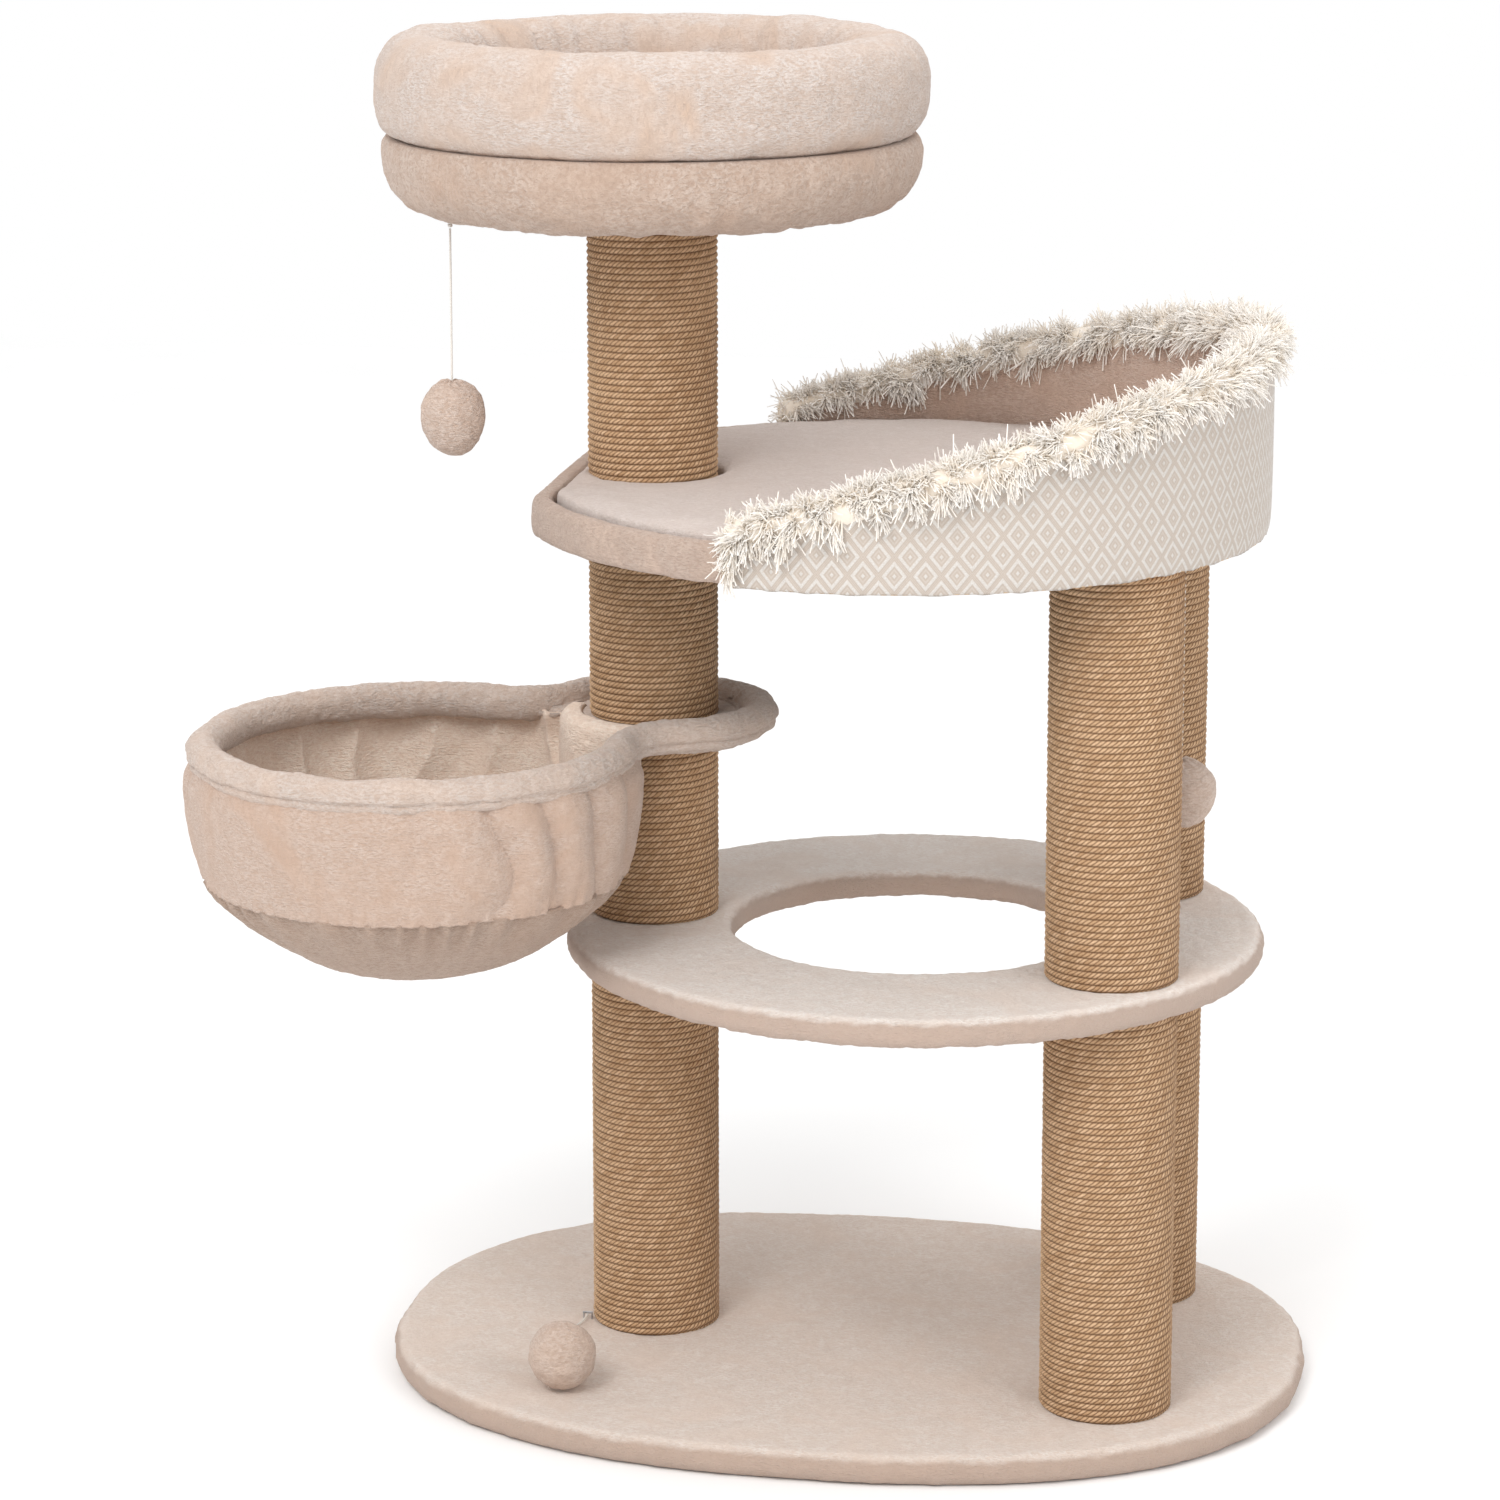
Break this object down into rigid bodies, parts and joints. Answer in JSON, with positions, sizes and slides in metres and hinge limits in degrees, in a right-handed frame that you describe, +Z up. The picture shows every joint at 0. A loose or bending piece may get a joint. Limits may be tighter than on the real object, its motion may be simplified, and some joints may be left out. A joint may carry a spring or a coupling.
{
  "type": "cat tree",
  "caption": "Cat tree: rounded base, rope-wrapped posts, ring shelf, hanging basket, walled lounger with shaggy fringe, round bed on top and plush balls on cords.",
  "frame": {"origin": "centre of the base plate's underside, on the floor", "axes": "+X from the tall left post towards the two right posts, +Y to the back, +Z up"},
  "size_m": [1.0088, 0.724, 1.254],
  "materials": {
    "plush": "short beige pile, matt",
    "jute": "twisted jute rope, wound tight, matt",
    "card": "brown spiral-wound board, matt",
    "board": "raw particle board, matt",
    "plug": "pressed wood, matt",
    "steel": "zinc plated",
    "felt": "black non-woven felt",
    "woven": "woven cloth with small raised diamonds",
    "fringe": "long cream shag",
    "cord": "thin white elastic cord"
  },
  "bodies": {
    "tree": {"base_board": "board", "base_cover": "plush", "base_underlay": "felt", "base_bolts": "steel", "base_washers": "steel", "left_tube_1": "card", "left_tube_2": "card", "left_tube_3": "card", "left_tube_4": "card", "front_tube_1": "card", "front_tube_2": "card", "back_tube_1": "card", "back_tube_2": "card", "left_rope_1": "jute", "left_rope_2": "jute", "left_rope_3": "jute", "left_rope_4": "jute", "front_rope_1": "jute", "front_rope_2": "jute", "back_rope_1": "jute", "back_rope_2": "jute", "left_plugs": "plug", "front_plugs": "plug", "back_plugs": "plug", "plug_inserts": "steel", "joining_studs": "steel", "shelf_board": "board", "shelf_cover": "plush", "collar_board": "board", "collar_cover": "plush", "basket_frame": "steel", "basket_rim": "plush", "basket_side": "plush", "basket_bottom": "plush", "lounger_board": "board", "lounger_underlay": "felt", "lounger_lip": "plush", "lounger_pad": "plush", "lounger_wall": "board", "lounger_outer_cloth": "woven", "lounger_lining": "plush", "lounger_fringe": "fringe", "lounger_bolts": "steel", "bed_board": "board", "bed_base": "plush", "bed_bolster": "plush", "bed_bolt": "steel", "toy_staples": "steel"},
    "cushion": {"bed_cushion": "plush"},
    "high_knot": {"high_toy_knot": "cord"},
    "high_toy": {"high_toy_cord": "cord", "high_toy_ball": "plush"},
    "low_knot": {"low_toy_knot": "cord"},
    "low_toy": {"low_toy_cord": "cord", "low_toy_ball": "plush"},
    "floor_toy": {"floor_toy_cord": "cord", "floor_toy_ball": "plush"}
  },
  "joints": [
    {"name": "cushion_lift", "type": "slide", "parent": "tree", "child": "cushion", "axis": [0, 0, 1], "range_m": [0, 0.15]},
    {"name": "high_swing_x", "type": "hinge", "parent": "tree", "child": "high_knot", "pos_m": [-0.355, -0.08, 1.0804], "axis": [1, 0, 0], "range_deg": [-30, 30]},
    {"name": "high_swing_y", "type": "hinge", "parent": "high_knot", "child": "high_toy", "pos_m": [-0.355, -0.08, 1.0804], "axis": [0, 1, 0], "range_deg": [-30, 30]},
    {"name": "low_swing_x", "type": "hinge", "parent": "tree", "child": "low_knot", "pos_m": [0.306, 0, 0.7984], "axis": [1, 0, 0], "range_deg": [-12, 12]},
    {"name": "low_swing_y", "type": "hinge", "parent": "low_knot", "child": "low_toy", "pos_m": [0.306, 0, 0.7984], "axis": [0, 1, 0], "range_deg": [-25, 25]},
    {"name": "floor_swing", "type": "hinge", "parent": "tree", "child": "floor_toy", "pos_m": [-0.247, -0.026, 0.03], "axis": [0, 0, 1], "range_deg": [-25, 8]}
  ]
}
